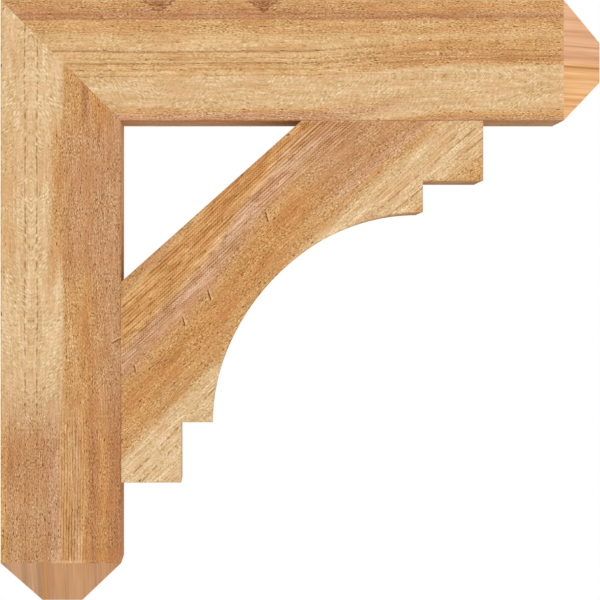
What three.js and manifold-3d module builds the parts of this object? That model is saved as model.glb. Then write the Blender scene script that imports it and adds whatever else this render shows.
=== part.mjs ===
// A timber corbel bracket: an upright post and a level arm of one square section, mitred at the top
// corner, with a curved and stepped knee brace let in between them.
//
// Millimetres, +Z up. X runs out from the wall, Y across the bracket's thickness. The origin is the
// middle of the post's wall face, half way across the thickness.
import * as THREE from "three";
import { mergeVertices } from "three/addons/utils/BufferGeometryUtils.js";
import Module from "manifold-3d";

// Driving dimensions
const TIMBER = 139.7; // side of the square section, and the bracket's thickness
const OVERALL = 5 * TIMBER; // wall face to arm tip, and top face to post tip
const END_CUT = TIMBER / 3; // length and depth of the pointed ends' 45 degree cuts
const JOINT = 0.3; // glue line left open between two timbers

// The brace, measured from the inner corner of post and arm
const BRACE_REACH = 3 * TIMBER; // along the arm, and down the post
const ARM_SEAT_START = 208.7; // where the brace's upper edge leaves the arm
const POST_SEAT_START = 186.6; // where the brace's upper edge leaves the post
const TOE = TIMBER / 2; // side of the square toe at each end of the brace
const SHOULDER = 36.4; // depth of the small step between toe and sweep
const SWEEP_PULL_AT_POST = 0.507; // how far each end of the sweep runs on straight,
const SWEEP_PULL_AT_ARM = 0.546; // as a share of the sweep's own height and width
const SWEEP_STEPS = 48; // straight pieces in the sweep

// How far a blank runs past the faces that its two views cut away
const OVERRUN = 5;

// Levels and places that follow from them
const TOP = (OVERALL - END_CUT) / 2; // the wall face is centred on the origin
const FOOT = TOP - OVERALL;
const UNDERSIDE = TOP - TIMBER; // the arm's lower face
const HALF = TIMBER / 2;
const MITRE_BACKSET = (JOINT / 2) * Math.SQRT2; // half the glue line, along either timber's edge

const wasm = await Module();
wasm.setup();

// A geometry as a solid that can be cut, with its doubled corner points merged
function toSolid(geometry) {
  const bare = geometry.clone();
  bare.deleteAttribute("normal");
  bare.deleteAttribute("uv");
  const merged = mergeVertices(bare, 1e-3);
  const mesh = new wasm.Mesh({
    numProp: 3,
    vertProperties: merged.attributes.position.array,
    triVerts: new Uint32Array(merged.index.array),
  });
  return new wasm.Manifold(mesh);
}

// A solid as a three.js geometry with flat faces
function toGeometry(solid) {
  const { vertProperties, triVerts } = solid.getMesh();
  const shared = new THREE.BufferGeometry();
  shared.setAttribute("position", new THREE.BufferAttribute(vertProperties, 3));
  shared.setIndex(new THREE.BufferAttribute(triVerts, 1));
  const flat = shared.toNonIndexed();
  flat.computeVertexNormals();
  return flat;
}

function outline(points) {
  return new THREE.Shape(points.map(([u, v]) => new THREE.Vector2(u, v)));
}

// A front view, drawn in X and Z, sawn right through a board that is centred on Y
function sawFrontView(shape, thickness) {
  const board = new THREE.ExtrudeGeometry(shape, {
    depth: thickness,
    bevelEnabled: false,
    curveSegments: SWEEP_STEPS,
  });
  board.rotateX(Math.PI / 2); // the drawing's second axis becomes +Z
  board.translate(0, thickness / 2, 0);
  return board;
}

// The edge view that both square timbers share, lying along X from the origin: full thickness up to the
// pointed end, then the two cuts that narrow it. It runs past the section above and below.
function pointedBlank() {
  const view = outline([
    [-HALF, 0],
    [HALF, 0],
    [HALF, OVERALL - END_CUT],
    [HALF - END_CUT, OVERALL],
    [END_CUT - HALF, OVERALL],
    [-HALF, OVERALL - END_CUT],
  ]);
  const blank = new THREE.ExtrudeGeometry(view, { depth: TIMBER + 2 * OVERRUN, bevelEnabled: false });
  blank.translate(0, 0, -OVERRUN);
  blank.rotateZ(-Math.PI / 2); // the drawing's length becomes +X, its thickness Y
  return blank;
}

// A square timber is what its front view and its edge view have in common
function squareTimber(frontView, blank) {
  const board = sawFrontView(frontView, TIMBER + 2 * OVERRUN);
  return toGeometry(toSolid(board).intersect(toSolid(blank)));
}

// The upright against the wall: mitred at the top, cut to a blunt four-sided point at the foot
function postGeometry() {
  const front = outline([
    [0, TOP - MITRE_BACKSET],
    [0, FOOT + END_CUT],
    [END_CUT, FOOT],
    [TIMBER - END_CUT, FOOT],
    [TIMBER, FOOT + END_CUT],
    [TIMBER, UNDERSIDE - MITRE_BACKSET],
  ]);
  const blank = pointedBlank();
  blank.rotateY(Math.PI / 2); // stood up, with its point at the foot
  blank.translate(0, 0, TOP);
  return squareTimber(front, blank);
}

// The level arm under the eaves: the same section, mitre and point, laid along X
function armGeometry() {
  const front = outline([
    [MITRE_BACKSET, TOP],
    [TIMBER + MITRE_BACKSET, UNDERSIDE],
    [OVERALL - END_CUT, UNDERSIDE],
    [OVERALL, UNDERSIDE + END_CUT],
    [OVERALL, TOP - END_CUT],
    [OVERALL - END_CUT, TOP],
  ]);
  const blank = pointedBlank();
  blank.translate(0, 0, UNDERSIDE);
  return squareTimber(front, blank);
}

// The knee brace: a straight upper edge, a seat on each timber, and between its two square toes a sweep
function braceGeometry() {
  const across = (distance) => TIMBER + distance;
  const down = (distance) => UNDERSIDE - distance;
  const innerReach = BRACE_REACH - TOE;
  const sweepEdge = TOE + SHOULDER;
  const sweepSize = innerReach - sweepEdge;

  const shape = new THREE.Shape();
  shape.moveTo(across(JOINT), down(POST_SEAT_START));
  shape.lineTo(across(JOINT), down(BRACE_REACH));
  shape.lineTo(across(TOE), down(BRACE_REACH));
  shape.lineTo(across(TOE), down(innerReach));
  shape.lineTo(across(sweepEdge), down(innerReach));
  shape.bezierCurveTo(
    across(sweepEdge),
    down(innerReach - SWEEP_PULL_AT_POST * sweepSize),
    across(innerReach - SWEEP_PULL_AT_ARM * sweepSize),
    down(sweepEdge),
    across(innerReach),
    down(sweepEdge),
  );
  shape.lineTo(across(innerReach), down(TOE));
  shape.lineTo(across(BRACE_REACH), down(TOE));
  shape.lineTo(across(BRACE_REACH), down(JOINT));
  shape.lineTo(across(ARM_SEAT_START), down(JOINT));
  shape.closePath();
  return sawFrontView(shape, TIMBER);
}

// Rough-sawn cedar, unfinished, in the tone that each timber mostly shows
function cedar(colour) {
  return new THREE.MeshStandardMaterial({ color: colour, roughness: 0.9, metalness: 0 });
}

function timber(name, geometry, colour) {
  const mesh = new THREE.Mesh(geometry, cedar(colour));
  mesh.name = name;
  return mesh;
}

const bracket = new THREE.Group();
bracket.add(timber("post", postGeometry(), 0xcb9a67));
bracket.add(timber("arm", armGeometry(), 0xd8ab74));
bracket.add(timber("brace", braceGeometry(), 0xc58f58));

export default bracket;
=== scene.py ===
# %% [markdown]
# # A rough-sawn timber corbel bracket
#
# The bracket is three pieces of cedar: a post that stands against the wall, an arm that runs out under
# the eave, and a knee brace sawn to a sweep between the two. The CAD solids already have the true sizes
# and places, so nothing is fitted here. Each timber is made again as a dense mesh that carries the relief
# of a sawn face, and is dressed with a wood that runs right through it, so that front, back, edges and
# cuts all belong together.

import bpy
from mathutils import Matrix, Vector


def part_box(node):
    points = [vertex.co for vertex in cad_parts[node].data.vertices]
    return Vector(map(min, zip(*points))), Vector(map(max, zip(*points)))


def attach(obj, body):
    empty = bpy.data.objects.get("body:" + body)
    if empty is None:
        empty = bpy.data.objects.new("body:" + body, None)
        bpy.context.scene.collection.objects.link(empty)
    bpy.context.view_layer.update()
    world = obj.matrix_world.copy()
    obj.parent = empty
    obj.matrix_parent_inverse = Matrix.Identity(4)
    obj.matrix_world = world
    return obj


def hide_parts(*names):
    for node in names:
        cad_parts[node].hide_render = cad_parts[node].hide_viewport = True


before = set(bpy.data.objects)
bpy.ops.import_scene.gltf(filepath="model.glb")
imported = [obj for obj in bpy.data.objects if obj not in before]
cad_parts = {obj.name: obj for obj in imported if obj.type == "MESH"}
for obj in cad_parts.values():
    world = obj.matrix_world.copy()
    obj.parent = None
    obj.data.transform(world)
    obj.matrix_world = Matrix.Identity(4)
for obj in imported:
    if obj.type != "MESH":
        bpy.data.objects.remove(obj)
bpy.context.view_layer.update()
print("nodes in the frame:", sorted(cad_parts))

# %% [markdown]
# ## Sizes
#
# A lesson that copies numbers from a drawing goes wrong as soon as the drawing changes. The section, the
# length and the levels are therefore read from the frame. Only what a box can't tell is written down
# again: the joint, the pointed ends and the brace's outline. Blender works in metres and a sawyer in
# millimetres, so the sizes here are millimetres, and one factor turns them into metres where a mesh or a
# light is placed.

# %% Measure the timbers
import functools
import math

import bpy
import numpy as np
from mathutils import Vector
from mathutils.geometry import delaunay_2d_cdt

MM = 0.001
post_corner, post_far_corner = (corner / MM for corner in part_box("post"))
arm_corner, arm_far_corner = (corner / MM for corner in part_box("arm"))

SECTION = post_far_corner.x - post_corner.x  # side of the square timbers, and the bracket's thickness
HALF = SECTION / 2
LENGTH = arm_far_corner.x - post_corner.x  # wall face to arm tip
TOP = arm_far_corner.z
UNDERSIDE = arm_corner.z
JOINT = 0.08  # hairline between two timbers, pressed closer than the solids so that it hardly shows
MITRE_BACKSET = JOINT / 2 * math.sqrt(2)
END_CUT = SECTION / 3  # length and depth of the pointed ends' cuts
print(f"section {SECTION:.1f} mm, length {LENGTH:.1f} mm, top at {TOP:.1f} mm")

# %% [markdown]
# ## Camera
#
# The picture is a square product shot. The front face keeps its right angles, so the lens looks straight
# along +Y, and the strips of underside and side that show tell where it stands: low and to the left of
# the middle. Turning the camera would tilt the verticals, so the frame is moved with the lens's shift
# instead, as a view camera does it.

# %% Place the camera
PICTURE = 600  # pixels each way
EYE_PIXEL = (212, 302)  # the pixel straight in front of the lens
CORNER_PIXEL = (0.45, -0.18)  # the pixel of the bracket's upper front corner at the wall
PIXEL = 1.1574  # millimetres of the front face that one pixel covers
CAMERA_GAP = 4094  # millimetres from the lens to the front face

camera = bpy.data.objects.new("camera", bpy.data.cameras.new("camera"))
camera.data.lens = camera.data.sensor_width * CAMERA_GAP / (PIXEL * PICTURE)
camera.data.shift_x = 0.5 - EYE_PIXEL[0] / PICTURE
camera.data.shift_y = EYE_PIXEL[1] / PICTURE - 0.5
eye_across = (EYE_PIXEL[0] - CORNER_PIXEL[0]) * PIXEL
eye_down = (EYE_PIXEL[1] - CORNER_PIXEL[1]) * PIXEL
camera.location = Vector((eye_across, -HALF - CAMERA_GAP, TOP - eye_down)) * MM
camera.rotation_euler = (math.pi / 2, 0, 0)
bpy.context.scene.collection.objects.link(camera)
bpy.context.scene.camera = camera
print(f"lens {camera.data.lens:.0f} mm, shift {camera.data.shift_x:.3f}, {camera.data.shift_y:.3f}")

# %% [markdown]
# ## Noise for the mesh
#
# Sawn wood is rough in a patterned way: long along the grain, short across it. A smooth random value on a
# lattice does that once its three directions are stretched differently. Blender's own noise function
# takes one point at a time, so a small version for whole arrays is quicker, and its seed makes each run
# the same.

# %% Smooth noise on arrays
CELL_KEYS = (73856093, 19349663, 83492791)  # odd numbers that scatter neighbouring cells
SEED_KEY, MIX_KEY = 40503, 1274126177
LOW_BITS = 0xFFFF  # the part of a scattered number that becomes the value


def lattice_noise(along, across, depth, seed):
    """Smooth noise from -1 to 1, with lumps about one unit long in each direction."""
    points = np.stack(np.broadcast_arrays(along, across, depth), axis=-1)
    cell = np.floor(points).astype(np.int64)
    part = points - cell
    ease = part * part * (3 - 2 * part)
    total = np.zeros(points.shape[:-1])
    for corner in np.ndindex(2, 2, 2):
        at = (cell + corner) * CELL_KEYS
        mixed = at[..., 0] ^ at[..., 1] ^ at[..., 2] ^ (seed * SEED_KEY)
        mixed = (mixed ^ (mixed >> 13)) * MIX_KEY
        value = ((mixed ^ (mixed >> 16)) & LOW_BITS) / (LOW_BITS / 2) - 1
        total += value * np.prod(np.where(corner, ease, 1 - ease), axis=-1)
    return total


def ease_step(low, high, value):
    """0 below low, 1 above high, and an eased ramp between."""
    share = np.clip((value - low) / (high - low), 0, 1)
    return share * share * (3 - 2 * share)


print("noise at three points:", lattice_noise(np.array([0.2, 1.4, 7.7]), 0.3, 0.6, seed=1).round(3))

# %% [markdown]
# ## The sawn face
#
# A band saw leaves three kinds of relief. Torn fibres are pits a few millimetres long. Slow lumps show
# where the blade wandered. Where the hard summer wood of narrow rings stands proud, the face is ribbed
# along the grain. The ribs wander a little, and they break off and start again. All of it lies below the
# flat face, so the timber never grows past its true size.

# %% Depth of the sawn relief
TORN_DEPTH, TORN_MOST = 0.22, 1.3  # the depth of a full tear, and the deepest as a share of it
LUMP_DEPTH = 0.12
RIB_DEPTH, RIB_BOOST = 0.7, 0.2  # the depth of full ribs, and the share that the deepest have on top
RIB_PITCH = 3.2  # from one raised ring to the next
RIB_LEAN = 0.7  # how far a rib moves across for each millimetre of depth
RIB_SHARPNESS = 1.5


def grain_noise(place, length, width, seed):
    """Noise at (along, across, depth), in lumps of the given length along the grain and width across it."""
    along, across, depth = place
    return lattice_noise(along / length, across / width, depth / width, seed)


def sawn_depth(along, across, depth, ribbed, seed):
    """How far each point lies under the flat face, in millimetres. ribbed is 1 for full ribs."""
    place = (along, across, depth)
    torn = grain_noise(place, 9, 2.8, seed) + 0.6 * grain_noise(place, 5, 1.7, seed + 1)
    lumps = grain_noise(place, 80, 24, seed + 2)
    wander = 2.2 * grain_noise(place, 170, 40, seed + 3) + 0.9 * grain_noise(place, 70, 6, seed + 4)
    turns = (across + RIB_LEAN * depth + wander) / RIB_PITCH
    ribs = (0.5 - 0.5 * np.cos(2 * np.pi * turns)) ** RIB_SHARPNESS
    breaks = 0.65 + 0.35 * grain_noise(place, 50, 3, seed + 5)
    torn_part = TORN_DEPTH * np.clip(0.5 + 0.5 * torn, 0, TORN_MOST)
    lump_part = LUMP_DEPTH * (0.5 + 0.5 * lumps)
    return torn_part + lump_part + RIB_DEPTH * ribbed * ribs * breaks


deepest = TORN_DEPTH * TORN_MOST + LUMP_DEPTH + RIB_DEPTH * (1 + RIB_BOOST)
print(f"deepest relief possible: {deepest:.2f} mm")

# %% [markdown]
# ## Post and arm
#
# Post and arm are the same timber: square, mitred where they meet, and cut to a blunt point at the free
# end. One function makes both, in the timber's own directions: along the grain from the outer corner,
# across from the outer face, and through the depth. A cube with modifiers could not follow the mitre and
# the point, so the mesh is a stack of loops round the section: down the sawn length, in along the four
# end cuts, and over the tip.

# %% The loop round the section
EASE = 0.12  # radius that handling leaves on the long edges
EASE_ANGLES = np.radians([45, 22.5])
FACE_COLUMNS = 150  # on the front and the back, where the ribs are close
SIDE_COLUMNS = 78  # on the two faces between them


def section_loop():
    """Across and depth, the outward normal in both, and the distance to the nearest long edge."""
    lead = EASE - EASE * np.sin(EASE_ANGLES)
    sunk = EASE - EASE * np.cos(EASE_ANGLES)
    sides = [
        ((0, -HALF), (1, 0), FACE_COLUMNS),
        ((SECTION, -HALF), (0, 1), SIDE_COLUMNS),
        ((SECTION, HALF), (-1, 0), FACE_COLUMNS),
        ((0, HALF), (0, -1), SIDE_COLUMNS),
    ]
    points, normals, edges = [], [], []
    for corner, forward, columns in sides:
        forward = np.array(forward)
        inward = np.array((-forward[1], forward[0]))
        flat = np.linspace(EASE, SECTION - EASE, columns)
        run = np.concatenate([lead, flat, [SECTION - lead[1]]])
        inset = np.concatenate([sunk, np.zeros(columns), [sunk[1]]])
        tilt = np.concatenate([-EASE_ANGLES, np.zeros(columns), [EASE_ANGLES[1]]])
        points.append(np.array(corner) + np.outer(run, forward) + np.outer(inset, inward))
        normals.append(np.outer(np.sin(tilt), forward) - np.outer(np.cos(tilt), inward))
        edges.append(np.minimum(run, SECTION - run))
    return np.concatenate(points), np.concatenate(normals), np.concatenate(edges)


loop_points, loop_normals, loop_edge = section_loop()
print("points in one loop:", len(loop_points))

# %% [markdown]
# Loops become a mesh by joining each point to its neighbour and to the point behind it. The ends close
# with a fan to one middle point. Whether a face points outwards depends on which way the timber lies, so
# the signed volume decides: if it comes out negative, every face is turned over.

# %% Mesh helpers
CREASE = math.radians(40)  # edges sharper than this stay crisp


def faces_between(rings):
    """Quads that join each ring of point numbers to the next."""
    after = np.roll(rings, -1, axis=1)
    return np.stack([rings[:-1], after[:-1], after[1:], rings[1:]], axis=-1).reshape(-1, 4)


def fan_faces(ring, middle):
    """Triangles that join one ring of point numbers to its middle point."""
    return np.stack([ring, np.roll(ring, -1), np.full(len(ring), middle)], axis=-1)


def signed_volume(points, triangles):
    a, b, c = (points[triangles[:, k]] for k in range(3))
    return np.einsum("ij,ij->i", a, np.cross(b, c)).sum() / 6


def new_piece(name, points, face_sets, **attributes):
    """A smooth-shaded mesh object from points in millimetres. face_sets holds (faces, material index)."""
    triangles = [faces[:, [0, k, k + 1]] for faces, _ in face_sets for k in range(1, faces.shape[1] - 1)]
    if signed_volume(points, np.concatenate(triangles)) < 0:
        face_sets = [(faces[:, ::-1], index) for faces, index in face_sets]
    mesh = bpy.data.meshes.new(name)
    mesh.from_pydata(points * MM, [], [face for faces, _ in face_sets for face in faces.tolist()])
    indices = np.concatenate([np.full(len(faces), index) for faces, index in face_sets])
    mesh.polygons.foreach_set("material_index", indices)
    mesh.polygons.foreach_set("use_smooth", np.ones(len(indices), bool))
    for attribute, values in attributes.items():
        mesh.attributes.new(attribute, "FLOAT", "POINT").data.foreach_set("value", values)
    mesh.update()
    mesh.set_sharp_from_angle(angle=CREASE)
    piece = bpy.data.objects.new(name, mesh)
    bpy.context.scene.collection.objects.link(piece)
    print(f"{name}: {len(points)} points, {sum(len(t) for t in triangles)} triangles")
    return piece


print(f"edges sharper than {math.degrees(CREASE):.0f} degrees stay crisp")

# %% [markdown]
# Every point also keeps three values that the finish will need: how far it is sunk below the flat face,
# how ribbed the face is there, and how far the nearest edge is.

# %% A square timber
SAWN_ROWS = 190
CUT_ROWS = 14
CRISP = 0.5  # distance of the extra loops that keep a cut's edge crisp
CUT_LEAD = 3  # from the edge of the cuts to their first plain loop
SAW_FADE = 2  # the sawn relief fades out over this length before the cuts
TIP_LOOPS = np.array([0.97, 0.6, 0.25])  # loops on the blunt tip, as shares of its size
CUT_START = LENGTH - END_CUT
SAWN, CUT = 0, 1  # material slots


def square_timber(name, to_frame, ribbed, seed):
    """to_frame turns (along, across, depth) into (x, y, z). ribbed says where the face is ribbed."""
    across, depth = loop_points.T
    mitre = across + MITRE_BACKSET
    even_shares = np.linspace(0, 1 - 2 * CRISP / SECTION, SAWN_ROWS)
    shares = np.append(even_shares, [1 - CRISP / CUT_START, 1])[:, None]
    along = mitre + shares * (CUT_START - mitre)
    rib_share = ribbed(along, across, depth)
    sunk = sawn_depth(along, across, depth, rib_share, seed) * ease_step(0, SAW_FADE, CUT_START - along)
    sawn = np.stack([along, across - loop_normals[:, 0] * sunk, depth - loop_normals[:, 1] * sunk], axis=-1)

    insets = np.concatenate([[CRISP], np.linspace(CUT_LEAD, END_CUT - CRISP, CUT_ROWS), [END_CUT]])
    scales = np.append(1 - 2 * insets / SECTION, TIP_LOOPS * (1 - 2 * END_CUT / SECTION))[:, None]
    forward = np.append(CUT_START + insets, np.full(len(TIP_LOOPS), LENGTH))[:, None]
    cut = np.stack(np.broadcast_arrays(forward, HALF + (across - HALF) * scales, depth * scales), axis=-1)

    loops = np.concatenate([sawn, cut])
    ends = np.array([[HALF + MITRE_BACKSET, HALF, 0], [LENGTH, HALF, 0]])
    points = np.concatenate([loops.reshape(-1, 3), ends])
    rings = np.arange(loops.shape[0] * loops.shape[1]).reshape(loops.shape[:2])
    face_sets = [
        (faces_between(rings[:len(sawn)]), SAWN),
        (faces_between(rings[len(sawn) - 1:]), CUT),
        (fan_faces(rings[0], len(points) - 2)[:, ::-1], SAWN),
        (fan_faces(rings[-1], len(points) - 1), CUT),
    ]
    planed = np.zeros(len(points) - sunk.size)
    relief = np.concatenate([sunk.ravel(), planed])
    ribs = np.concatenate([rib_share.ravel(), planed])
    edge = np.concatenate([np.tile(loop_edge, len(sawn)), (loop_edge * scales).ravel(), [HALF, HALF]])
    return new_piece(name, to_frame(*points.T), face_sets, relief=relief, ribs=ribs, edge=edge)


print("loops along the sawn length:", SAWN_ROWS + 2, "and on the cuts:", CUT_ROWS + 2 + len(TIP_LOOPS))

# %% [markdown]
# The post's lower half shows close rings standing proud in a band right of its middle. The arm is
# flatter, with only a few raised lines along its middle. Other faces get ribs in patches where a slow
# noise runs high.

# %% Make the post and the arm
POST_RIBS, ARM_RIBS, PATCH_RIBS = 0.75, 0.25, 0.6


def between(value, start, full, fade, end):
    """0 up to start, 1 from full to fade, and 0 again from end on."""
    return ease_step(start, full, value) * (1 - ease_step(fade, end, value))


def near_front(depth):
    """1 on the front face, fading out a few millimetres behind it."""
    return 1 - ease_step(-HALF + 2, -HALF + 6, depth)


def patches(along, across, depth, seed):
    """Ribbed patches for the faces that don't show."""
    slow = grain_noise((along, across, depth), 260, 45, seed)
    return PATCH_RIBS * ease_step(0.05, 0.6, slow) * ease_step(-HALF, -HALF + 10, depth)


def post_ribs(along, across, depth):
    band = POST_RIBS * between(across, 58, 76, 90, 112) * ease_step(420, 520, along)
    return np.maximum(band * near_front(depth), patches(along, across, depth, seed=11))


def arm_ribs(along, across, depth):
    band = ARM_RIBS * between(across, 56, 62, 84, 92)
    return np.maximum(band * near_front(depth), patches(along, across, depth, seed=12))


def upright(along, across, depth):
    return np.stack([across, depth, TOP - along], axis=1)


def level(along, across, depth):
    return np.stack([along, depth, TOP - across], axis=1)


post = square_timber("post_timber", upright, post_ribs, seed=21)
arm = square_timber("arm_timber", level, arm_ribs, seed=22)

# %% [markdown]
# ## Knee brace
#
# The brace is sawn from one plank. Its grain runs with the straight upper edge, and the lower edge is a
# sweep between two square toes, with a small shoulder at each. The outline is written as its corners and
# one curve.

# %% Outline of the brace
BRACE_REACH = 3 * SECTION  # along the arm, and down the post
ARM_SEAT_START = 208.7  # where the upper edge leaves the arm, from the inner corner
POST_SEAT_START = 186.6  # where the upper edge leaves the post
TOE = SECTION / 2
SHOULDER = 36.4
SWEEP_PULL_AT_POST = 0.507  # how far each end of the sweep runs on straight,
SWEEP_PULL_AT_ARM = 0.546  # as a share of the sweep's own height and width
SWEEP_BULGE = 1.15  # length of the sweep, as a share of the straight line between its ends
OPEN_STEP = 2.2  # spacing of the points on an edge that shows
SEAT_STEP = 8.0  # and on a seat, which doesn't


def straight(start, end, step):
    count = max(2, round(math.dist(start, end) / step))
    return np.linspace(start, end, count, endpoint=False)


def sweep(start, pull_start, pull_end, end, step):
    count = round(SWEEP_BULGE * math.dist(start, end) / step)
    t = np.linspace(0, 1, count, endpoint=False)[:, None]
    controls = [np.array(p) for p in (start, pull_start, pull_end, end)]
    weights = [(1 - t) ** 3, 3 * t * (1 - t) ** 2, 3 * t * t * (1 - t), t**3]
    return sum(weight * control for weight, control in zip(weights, controls))


def brace_outline():
    """Points as (distance from the post, distance under the arm), all the way round."""
    inner = BRACE_REACH - TOE
    edge = TOE + SHOULDER
    size = inner - edge
    foot = [(JOINT, POST_SEAT_START), (JOINT, BRACE_REACH), (TOE, BRACE_REACH), (TOE, inner), (edge, inner)]
    head = [(inner, edge), (inner, TOE), (BRACE_REACH, TOE), (BRACE_REACH, JOINT), (ARM_SEAT_START, JOINT)]
    foot_steps = [SEAT_STEP, OPEN_STEP, OPEN_STEP, OPEN_STEP]
    head_steps = [OPEN_STEP, OPEN_STEP, OPEN_STEP, SEAT_STEP, OPEN_STEP]
    pull_start = (edge, inner - SWEEP_PULL_AT_POST * size)
    pull_end = (inner - SWEEP_PULL_AT_ARM * size, edge)
    parts = [straight(a, b, step) for a, b, step in zip(foot, foot[1:], foot_steps)]
    parts.append(sweep(foot[-1], pull_start, pull_end, head[0], OPEN_STEP))
    parts += [straight(a, b, step) for a, b, step in zip(head, head[1:] + foot[:1], head_steps)]
    return np.concatenate(parts)


drawn = brace_outline()
open_edge = drawn.min(axis=1) > JOINT  # the points that don't lie on a seat
outline = drawn * (1, -1) + (SECTION, UNDERSIDE)
print("points round the brace:", len(outline), "of which on a seat:", np.count_nonzero(~open_edge))

# %% [markdown]
# Each edge point also needs the direction that leads out of the wood, for the eased corner and for the
# relief. It is the mean of the two edges that meet there, stretched so that both edges move by the same
# distance. The grain has its own two directions: along the upper edge from the post, and square to it.

# %% Outward directions and the grain


def outward_directions(points):
    step = np.roll(points, -1, axis=0) - points
    step /= np.linalg.norm(step, axis=1)[:, None]
    normal = np.stack([-step[:, 1], step[:, 0]], axis=1)
    before = np.roll(normal, 1, axis=0)
    joined = (normal + before) / (1 + np.sum(normal * before, axis=1))[:, None]
    area = np.sum(points[:, 0] * np.roll(points[:, 1], -1) - points[:, 1] * np.roll(points[:, 0], -1))
    return joined if area < 0 else -joined


def grain_position(flat_points):
    """Distance along the upper edge from the post, and under it."""
    offset = flat_points - GRAIN_START
    return offset @ GRAIN_ALONG, offset @ GRAIN_ACROSS


outward = outward_directions(outline)
GRAIN_SLOPE = math.atan2(POST_SEAT_START, ARM_SEAT_START)
GRAIN_ALONG = np.array((math.cos(GRAIN_SLOPE), math.sin(GRAIN_SLOPE)))
GRAIN_ACROSS = np.array((math.sin(GRAIN_SLOPE), -math.cos(GRAIN_SLOPE)))
GRAIN_START = np.array((SECTION + JOINT, UNDERSIDE - POST_SEAT_START))
print(f"the brace's grain climbs at {math.degrees(GRAIN_SLOPE):.1f} degrees")

# %% [markdown]
# Front and back are filled with points in rows along the grain, so that the ribs follow it, and a
# triangulation joins them up to the edge. A grid cut to the outline would leave a jagged rim, and
# Blender's own fill has no points inside to carry the relief.

# %% Fill of the front and the back
FILL_ALONG, FILL_ACROSS = 3.1, 0.85  # steps of the fill points
FILL_MARGIN = 0.6  # share of the step across that stays free along the rim
MERGE_GAP = 1e-6  # points closer than this become one


def inside(points, ring):
    """True for each point that lies inside the closed ring of points."""
    after = np.roll(ring, -1, axis=0)
    found = np.zeros(len(points), bool)
    for (x0, z0), (x1, z1) in zip(ring, after):
        if z0 != z1:
            crosses = (points[:, 1] < z0) != (points[:, 1] < z1)
            found ^= crosses & (points[:, 0] < x0 + (points[:, 1] - z0) * (x1 - x0) / (z1 - z0))
    return found


def fill_points(ring):
    """Rows of points along the grain, a little inside the ring. Every second row is set half a step on."""
    along, across = grain_position(ring)
    rows = np.arange(across.min(), across.max(), FILL_ACROSS)
    places = np.arange(along.min(), along.max(), FILL_ALONG)
    grid_along, grid_across = np.meshgrid(places, rows)
    grid_along = grid_along + (np.arange(len(rows)) % 2)[:, None] * FILL_ALONG / 2
    row_starts = GRAIN_START + grid_along.reshape(-1, 1) * GRAIN_ALONG
    points = row_starts + grid_across.reshape(-1, 1) * GRAIN_ACROSS
    return points[inside(points, ring - outward * FILL_ACROSS * FILL_MARGIN)]


rim = outline - outward * EASE
filled = [Vector(p) for p in np.concatenate([rim, fill_points(rim)])]
rim_edges = [(k, (k + 1) % len(rim)) for k in range(len(rim))]
INSIDE_ONLY = 1  # the triangulation keeps what the rim encloses
joined, _, flat_faces, *_ = delaunay_2d_cdt(filled, rim_edges, [], INSIDE_ONLY, MERGE_GAP)
flat_points = np.array([tuple(p) for p in joined])
flat_faces = np.array(flat_faces)
print(f"front of the brace: {len(flat_points)} points, {len(flat_faces)} triangles")

# %% [markdown]
# Towards the arm the growth bands climb to the upper edge. The ribbed stretch climbs with them and gets
# deeper, while the fibres themselves bend only a little. The toes are slightly ribbed.

# %% Faces and ribs of the brace
# how far the bands have climbed at each distance along the grain
CLIMB = [(0, 0), (65, 5), (115, 14), (165, 29), (215, 34), (270, 33), (400, 28)]
FIBRE_CLIMB = 0.15  # the fibres' share of the climb
TOE_RIBS = 0.25


def climb(along):
    return np.interp(along, *zip(*CLIMB))


def brace_ribs(along, across, depth):
    place = across + climb(along)
    end = 70 + 4 * ease_step(180, 260, along)
    band = between(place, 8, 22, end, end + 12) * ease_step(0, 4, across)
    band = band * (1 + RIB_BOOST * ease_step(150, 200, along))
    toes = TOE_RIBS * ease_step(146, 158, place)
    front = np.maximum(band, toes) * near_front(depth)
    return np.maximum(front, patches(along, across, depth, seed=13))


def brace_face(side):
    """Points of the front (side -1) or the back (1), how far they are sunk, and how ribbed they are."""
    along, across = grain_position(flat_points)
    ribs = brace_ribs(along, across, side * HALF)
    sunk = sawn_depth(along, across + FIBRE_CLIMB * climb(along), side * HALF, ribs, seed=23)
    sunk[:len(rim)] = 0
    return np.stack([flat_points[:, 0], side * (HALF - sunk), flat_points[:, 1]], axis=1), sunk, ribs


front, front_sunk, front_ribs = brace_face(-1)
back, back_sunk, back_ribs = brace_face(1)
print(f"deepest on the brace's front: {front_sunk.max():.2f} mm")

# %% [markdown]
# The edges are rings of points round the outline, one for each step through the thickness. The first and
# the last ring lie on the eased corner, and quads join them to the rims of the front and the back. The
# front's triangles are turned over, so that they look the other way from the back's.

# %% Make the brace
EDGE_COLUMNS = 58
EDGE_RIBS = 0.2  # the sawn edges are only slightly ribbed
EDGE_FADE = 2  # their relief fades out this close to the front and the back
CORNER = EASE * (1 - math.sqrt(0.5))  # how far the middle of an eased edge lies under both faces


def gap_to_ring(points, ring):
    """Distance from each point to the nearest point of the ring."""
    return np.array([np.linalg.norm(ring - point, axis=1).min() for point in points])


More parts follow.
